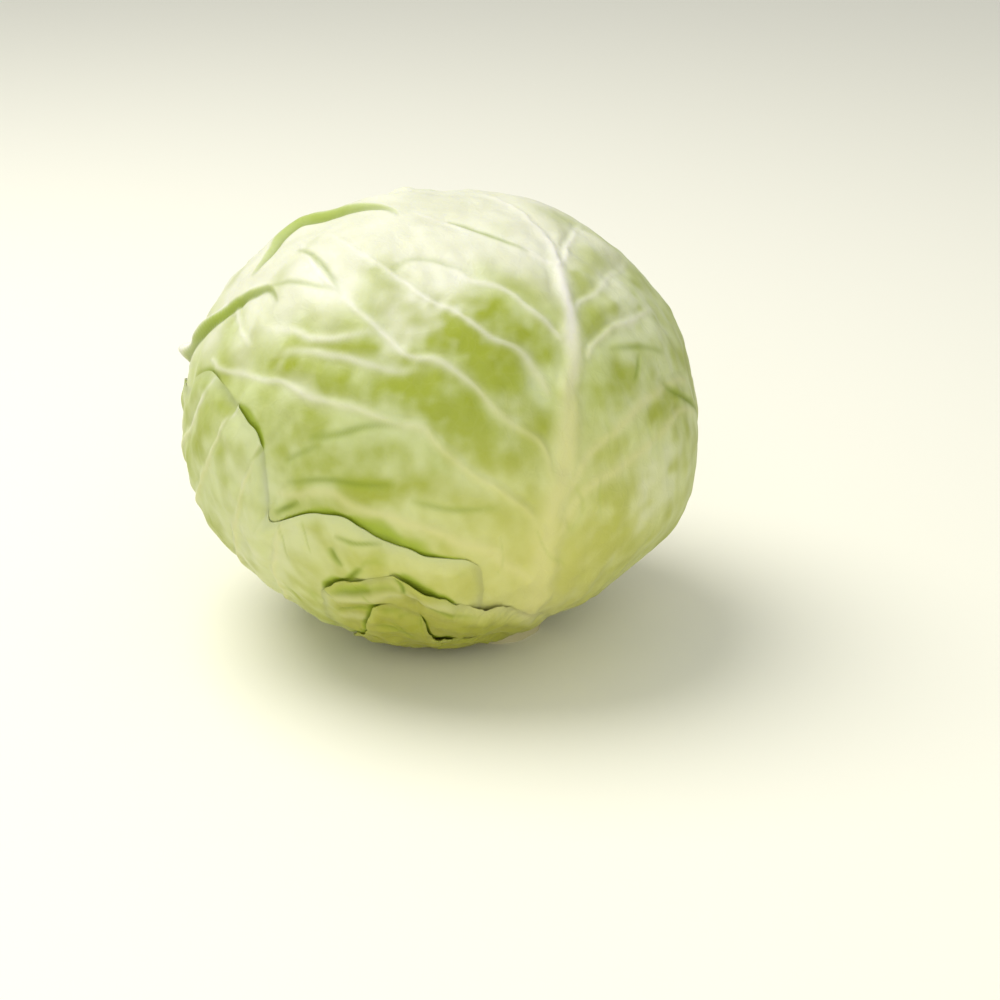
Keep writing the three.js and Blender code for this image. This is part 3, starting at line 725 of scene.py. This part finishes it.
def fold_relief(leaf, x, y):
    """Height of the folds, the shade green painted on their flanks, and the dark painted shade
    along their lines. On the tip's side of a fold's line the blade steps up to its height over its
    width and sinks back slowly. On the other side it has a low lip, and a notch lies between."""
    height, shade, dark_shade = np.zeros((3, len(x)))
    for fold, flank_shade in leaf.folds:
        away, part, across = fold.near(x, y)
        taper = ends_taper(part)
        width, rise = fold.at(fold.width, part) * taper + 0.1, fold.at(fold.height, part)
        tipward = smooth(-0.8, 0.8, across)
        flank = smooth(0, 1, away / width) * np.exp(-np.maximum(away - width, 0) / FLANK_SINK)
        lip = LIP_HEIGHT * smooth(0, 1.5, away) * np.exp(-away / LIP_SINK)
        notch = NOTCH_DEPTH * bell(away, NOTCH_WIDTH)
        height += taper * rise * (tipward * flank + (1 - tipward) * lip - notch)
        tuck = smooth(1.25, 0.7, away / width) * smooth(-0.9, 0.5, across)
        shade = np.maximum(shade, flank_shade * taper * tuck)
        dark_shade = np.maximum(dark_shade, 0.8 * taper * bell(away, 1.1))
    return height, shade, dark_shade


def slit_relief(leaf, x, y):
    """Height of the slits, the shade green painted round them, and the dark painted shade along
    their lines. A slit is a bell-shaped cut between two low banks, which are a wider bell curve."""
    height, shade, dark_shade = np.zeros((3, len(x)))
    for slit in leaf.slits:
        away, part, _ = slit.near(x, y)
        width, depth = slit.at(slit.width, part), slit.at(slit.height, part) * ends_taper(part)
        height += depth * (BANK_HEIGHT * bell(away, 3 * width) - CUT_DEPTH * bell(away, width))
        strength = np.minimum(1.6 * depth, 1)
        shade = np.maximum(shade, strength * bell(away, 1.3 * width))
        dark_shade = np.maximum(dark_shade, strength * bell(away, 0.8 * width))
    return height, shade, dark_shade


def crevice_relief(ways, depths):
    """Height of the leaf beyond the margins that lie over it, the shade green painted in each
    crevice, and the dark painted shade along the margin. It climbs out of each crevice over the
    crevice's width and sinks back slowly."""
    height, shade, dark_shade = np.zeros((3, len(ways)))
    for over, beyond in depths.items():
        gape, free = over.crevice(ways)
        climb = smooth(0, gape, -beyond) * np.exp(np.minimum(beyond, 0) / CREVICE_SINK)
        height += CREVICE_LIFT * free * climb
        shaded = smooth(-1.1 * gape, -0.3 * gape, beyond) * smooth(0.5, 1.8, gape)
        shade = np.maximum(shade, shaded)
        dark_shade = np.maximum(dark_shade, smooth(-0.35 * gape, 0, beyond) * smooth(0.8, 2.4, gape))
    return height, shade, dark_shade


def patchwork(leaf, x, y):
    """How much greener the leaf's patches are: bell curves over ellipses, summed."""
    patched = np.zeros(len(x))
    for middle_x, middle_y, length, breadth, slant, strength in leaf.patches:
        c, s = np.cos(np.radians(slant)), np.sin(np.radians(slant))
        along = (c * (x - middle_x) + s * (y - middle_y)) / length
        across = (c * (y - middle_y) - s * (x - middle_x)) / breadth
        patched += GREEN_PATCH * strength * np.exp(-(along**2 + across**2))
    return patched


def blade(leaf, ways, depths):
    """Height of a leaf's outer face over a plain sheet, and its tints. The blade swells between
    its ribs, waves, and has fine streaks and wrinkles that run out from the stem. Crevices,
    folds and slits come on top, the whole sinks to its margin, and a free margin is ruffled.
    depths says how far inside the margin of each leaf over it every direction lies."""
    x, y = leaf.plane(ways)
    inside = leaf.inside(ways)
    place = ways * PATTERN_RADIUS
    from_stem = np.degrees(np.arccos(np.clip(ways @ stem, -1, 1)))
    turn = np.arctan2(ways @ stem_right, ways @ stem_front)
    streak_place = np.stack([
        STREAK_RADIUS * np.cos(turn), STREAK_RADIUS * np.sin(turn), STREAK_SQUEEZE * from_stem], axis=1)
    bent_x = x + WANDER * ripples(place, WANDER_SIZE, leaf.seed + 30)
    bent_y = y + WANDER * ripples(place, WANDER_SIZE, leaf.seed + 31)
    uneven = 1 + RIB_UNEVEN * ripples(place, RIB_UNEVEN_SIZE, leaf.seed + 32)
    rib_height, pale, near_rib = rib_relief(leaf, bent_x, bent_y, uneven)
    crevice_height, crevice_shade, crevice_dark_shade = crevice_relief(ways, depths)
    fold_height, fold_shade, fold_dark_shade = fold_relief(leaf, x, y)
    slit_height, slit_shade, slit_dark_shade = slit_relief(leaf, x, y)

    streaks = ripples(streak_place, STREAK_SIZE, leaf.seed + 40) * smooth(165, 120, from_stem)
    fine = ripples(streak_place, FINE_SIZE, leaf.seed + 43) * smooth(125, 90, from_stem)
    waves = ripples(place, WAVE_SIZE, leaf.seed + 60)
    knobs = leaf.crinkle * ripples(place, KNOB_SIZE, leaf.seed + 80)
    wrinkle = ripples(streak_place, WRINKLE_SIZE, leaf.seed + 41)
    wrinkled = smooth(0.2, 1.2, ripples(place, 24, leaf.seed + 42)) * smooth(125, 85, from_stem)
    crinkle = leaf.crinkle * wrinkled * bell(wrinkle, 0.1 + 0.05 * near_rib)
    height = (rib_height + leaf.swell * (1 - near_rib) + WAVE_HEIGHT * waves
              + STREAK_HEIGHT * streaks + KNOB_HEIGHT * knobs + FINE_HEIGHT * fine
              - WRINKLE_DEPTH * crinkle + crevice_height + fold_height + slit_height)
    rim = 1 - smooth(0, RUFFLE_REACH, inside)
    _, free = leaf.crevice(ways)
    height *= 0.35 * free + (1 - 0.35 * free) * smooth(0, 9, inside)
    height += leaf.ruffle * free * rim * (1 + ripples(place, RUFFLE_SIZE, leaf.seed + 90))
    for middle_x, middle_y, spread, rise in leaf.swells:
        height += rise * bell(np.hypot(x - middle_x, y - middle_y), spread)

    blotches = 0.09 * ripples(place, 30, leaf.seed + 70) + 0.07 * ripples(place, 11, leaf.seed + 71)
    green = GREEN + blotches + 0.04 * fine + GREEN_BETWEEN * (1 - near_rib) - GREEN_LOST * rim * free
    patched = patchwork(leaf, bent_x, bent_y) * (1 + 0.3 * ripples(place, 8, leaf.seed + 76))
    # Whiter toward the crown, less where greener patches lie: partly the leaf's waxy bloom and partly a
    # painted highlight where the light falls on the top.
    bloom = smooth(112, 142, from_stem + 6 * ripples(place, 28, leaf.seed + 75)) - 0.8 * patched
    tints = {
        "rib": pale,
        "green": np.clip(green + patched, 0, 1),
        "yellow": smooth(105, 55, from_stem) * bell(x - leaf.ripe, 42),
        "crown": smooth(92, 118, from_stem),
        "bloom": np.clip(bloom, 0, 1),
        # Painted shade: shade green in wrinkles, crevices, folds and slits, and a dark green painted
        # along their lines.
        "shade": np.maximum.reduce([0.35 * crinkle, crevice_shade, fold_shade, slit_shade]),
        "dark_shade": np.maximum.reduce([crevice_dark_shade, fold_dark_shade, slit_dark_shade]),
        "rim": free * (1 - smooth(0, 2.5, inside)),
        "torn": np.full(len(ways), float(leaf.name.startswith("torn"))),
    }
    return height, tints


def lay_outer(leaf, ways):
    """Each leaf lies on those under it: a pitch for each, and their own height where they
    are bare or just inside the next margin. A margin that clings is thinner and takes on the
    tints of the leaf below. Leaves that would pass the floor are pressed flat against it, the
    outermost first, and at the stump they turn in to meet it."""
    depths = {other: other.inside(ways) for other in outer_leaves}
    covers = {other: smooth(*BRIDGE, depth) for other, depth in depths.items()}
    thin = np.minimum(1, WRAPPER_MOST / np.maximum(sum(covers.values()), 1))
    place = outer_leaves.index(leaf)
    inner = head_radius(ways) - WRAPPER_ROOM + WRAPPER_GAP
    full = {tint: np.zeros(len(ways)) for tint in TINTS}
    for number, other in enumerate(outer_leaves[:place + 1]):
        over = {top: depths[top] for top in outer_leaves[number + 1:]}
        bare = covers[other]
        for depth in over.values():
            bare = bare * (1 - smooth(0, 8, depth))
        shown = bare > 0
        height = np.zeros(len(ways))
        rise, tints = blade(other, ways[shown], {top: depth[shown] for top, depth in over.items()})
        height[shown] = rise * bare[shown]
        _, free = other.crevice(ways)
        if other is leaf:
            own = np.maximum(free, smooth(0, BLEND, depths[other]))
        else:
            own = smooth(BRIDGE[1], BLEND - 6.5 * free, depths[other])
            inner = inner + WRAPPER_PITCH * thin * covers[other] + height
        for tint, values in tints.items():
            full[tint][shown] += own[shown] * (values - full[tint][shown])
    depth = depths[leaf]
    left = RIM_PART + (1 - RIM_PART) * free
    edge, gap = RIM_THICK * left, RIM_GAP * left
    thick = edge + ((WRAPPER_PITCH - WRAPPER_GAP) * thin - edge) * smooth(0, RIM_TAPER, depth)
    sink = (WRAPPER_GAP - gap) * (1 - smooth(0, 5, depth))
    outer = inner + thick + height - sink
    inner = inner + height * (1 - smooth(0, RIM_TAPER, depth)) - sink
    above = sum([covers[top] for top in outer_leaves[place + 1:]], np.zeros(len(ways)))
    level = above * (PRESSED_THICK + PRESSED_GAP) * thin
    down = np.maximum(-ways[:, 2], 1e-6)
    outer = np.minimum(outer, (HEAD_MIDDLE[2] - level) / down)
    inner = np.minimum(inner, (HEAD_MIDDLE[2] - level - PRESSED_THICK * thin) / down)
    from_stem = np.degrees(np.arccos(np.clip(ways @ stem, -1, 1)))
    tuck = STEM_TUCK * smooth(TUCK_FROM, TUCK_TO, from_stem)
    return outer - tuck, inner - tuck, full


# Colours of whole leaves and of torn bases: pale blade, green blade, yellow, rib, and the
# whitish crown, partly waxy bloom and partly painted highlight. The torn bases' colours are
# darker, partly their own tone and partly painted shade where they lie low under the head,
# and their paler rib partly paints a highlight along their ribs.
LEAF_COLOURS = [
    ((0.56, 0.61, 0.28, 1), (0.46, 0.49, 0.11, 1)),
    ((0.32, 0.37, 0.03, 1), (0.29, 0.35, 0.015, 1)),
    ((0.64, 0.60, 0.18, 1), (0.38, 0.36, 0.045, 1)),
    ((0.62, 0.61, 0.28, 1), (0.66, 0.68, 0.36, 1)),
    ((0.83, 0.80, 0.71, 1), (0.80, 0.80, 0.60, 1))]
# Painted shade: a saturated green where the blade turns from the light, and a dark green along creases
# and crevices.
SHADE_GREEN, DARK_SHADE_GREEN = (0.31, 0.40, 0.02, 1), (0.15, 0.20, 0.005, 1)


def leaf_finish(name):
    """Leaf tissue: a blotched blade, yellower toward the stem, with pale ribs and a faint net of
    small veins. Toward the crown blade and ribs whiten, partly with a waxy film and partly with
    a painted highlight. Painted shade lays a saturated green where the blade is folded away from
    light, and a dark green along creases and crevices. Waxy and slightly clear.
    Each colour has a second one that the torn bases take on, darker, partly their own tone and
    partly painted shade."""
    finish = Finish(name)
    blade_pale, blade_green, yellow, rib, bloom = [
        finish.mix(finish.tint("torn"), whole, torn) for whole, torn in LEAF_COLOURS]
    blotch = finish.between(finish.noise(60.0, 4.0, 0.55), 0.3, 0.7, -0.12, 0.12)
    patch = finish.maths("ADD", finish.tint("green"), blotch)
    warp = finish.add("TexNoise", {"Vector": finish.place, "Scale": 90.0, "Detail": 2.0})
    sockets = {0: 0.012, 1: finish.place, 2: warp.outputs["Color"]}
    bent = finish.add("MixRGB", sockets, blend_type="ADD").outputs[0]
    cells = finish.add("TexVoronoi", {"Vector": bent, "Scale": 190.0}, feature="DISTANCE_TO_EDGE")
    net = finish.between(cells.outputs["Distance"], 0.0, 0.16, 1.0, 0.0)
    ripe_rib = finish.glaze(rib, finish.tint("yellow"), 0.5, yellow)
    # Toward the crown the ribs take the same whitening: waxy bloom and painted highlight.
    ripe_rib = finish.mix(finish.tint("crown"), ripe_rib, bloom)
    colour = finish.mix(finish.between(patch, 0.1, 0.9), blade_pale, blade_green)
    colour = finish.glaze(colour, finish.tint("yellow"), 0.65, yellow)
    colour = finish.glaze(colour, net, 0.03, rib)
    colour = finish.glaze(colour, finish.tint("rib"), 0.9, ripe_rib)
    colour = finish.glaze(colour, finish.tint("bloom"), 0.65, bloom)
    # Painted shade over all of it: shade green, then dark green along creases and crevices.
    colour = finish.glaze(colour, finish.tint("shade"), 0.9, SHADE_GREEN)
    colour = finish.glaze(colour, finish.tint("dark_shade"), 0.7, DARK_SHADE_GREEN)
    colour = finish.glaze(colour, finish.tint("rim"), 0.4, blade_pale)
    normal = finish.bump(finish.noise(260.0, 5.0, 0.6), 0.0006, 0.3)
    normal = finish.bump(net, 0.0002, 0.15, normal)
    sockets = {"Base Color": colour, "Normal": normal, "Roughness": 0.48, "Subsurface Weight": 0.25,
               "Subsurface Radius": (1.0, 0.9, 0.35), "Subsurface Scale": 0.004,
               "Specular IOR Level": 0.3}
    finish.set(finish.shader, sockets)
    return finish.material


# The torn bases' material is a darker copy, partly their own tone and partly painted shade.
leaf_tissue, torn_tissue_and_shade = leaf_finish("wrapper_leaf_tissue"), leaf_finish("torn_leaf_tissue_and_shade")
for outer_leaf in outer_leaves:
    if outer_leaf.name.startswith("torn"):
        make_leaf(outer_leaf, TORN_STEPS, lay_outer, torn_tissue_and_shade)
    else:
        make_leaf(outer_leaf, LEAF_STEPS, lay_outer, leaf_tissue)

# ---- Floor, light and camera ----
# A pale table that runs out of view, a large soft light above the head's left shoulder, a weak
# one from the right, and a camera with a long lens that looks slightly down.

CAMERA_RISE = np.radians(22.0)
CAMERA_LENS, CAMERA_SENSOR = 85.0, 36.0        # mm
VIEW_WIDTH = 0.3295                            # m across the view at the head
VIEW_AIM = (0.0194, -0.0282)                   # m, aim from the head's middle, right and up

bpy.ops.mesh.primitive_plane_add(size=60)
table = bpy.context.object
table.name = "table"
table_finish = Finish("pale_table")
table_finish.set(table_finish.shader, {"Base Color": (0.88, 0.86, 0.72, 1), "Roughness": 0.6})
table.data.materials.append(table_finish.material)


def soft_light(name, place, aim, size, power, colour):
    """A round lamp this many metres wide and watts strong, turned to its aim."""
    light = bpy.data.lights.new(name, "AREA")
    light.shape = "DISK"
    light.size, light.energy, light.color = size, power, colour
    lamp = bpy.data.objects.new(name, light)
    lamp.location = place
    lamp.rotation_euler = (Vector(aim) - Vector(place)).to_track_quat("-Z", "Y").to_euler()
    bpy.context.collection.objects.link(lamp)


head_middle = Vector(HEAD_MIDDLE / 1000)
soft_light("key_light", (-0.45, 0.2, 1.05), head_middle, 0.9, 11.0, (1.0, 0.99, 0.97))
soft_light("fill_light", (0.15, -1.15, 0.5), head_middle, 1.2, 5.5, (1.0, 1.0, 1.0))
world = bpy.data.worlds.new("room")
world.use_nodes = True
world.node_tree.nodes["Background"].inputs["Color"].default_value = (0.95, 0.97, 1.0, 1)
world.node_tree.nodes["Background"].inputs["Strength"].default_value = 0.55
bpy.context.scene.world = world
bpy.context.scene.view_settings.view_transform = "Standard"

view_up = Vector((0, np.sin(CAMERA_RISE), np.cos(CAMERA_RISE)))
view_back = Vector((0, -np.cos(CAMERA_RISE), np.sin(CAMERA_RISE)))
aim = head_middle + Vector((VIEW_AIM[0], 0, 0)) + VIEW_AIM[1] * view_up
lens = bpy.data.cameras.new("camera")
lens.lens, lens.sensor_width = CAMERA_LENS, CAMERA_SENSOR
camera = bpy.data.objects.new("camera", lens)
camera.location = aim + view_back * (VIEW_WIDTH * CAMERA_LENS / CAMERA_SENSOR)
camera.rotation_euler = (-view_back).to_track_quat("-Z", "Y").to_euler()
bpy.context.collection.objects.link(camera)
bpy.context.scene.camera = camera
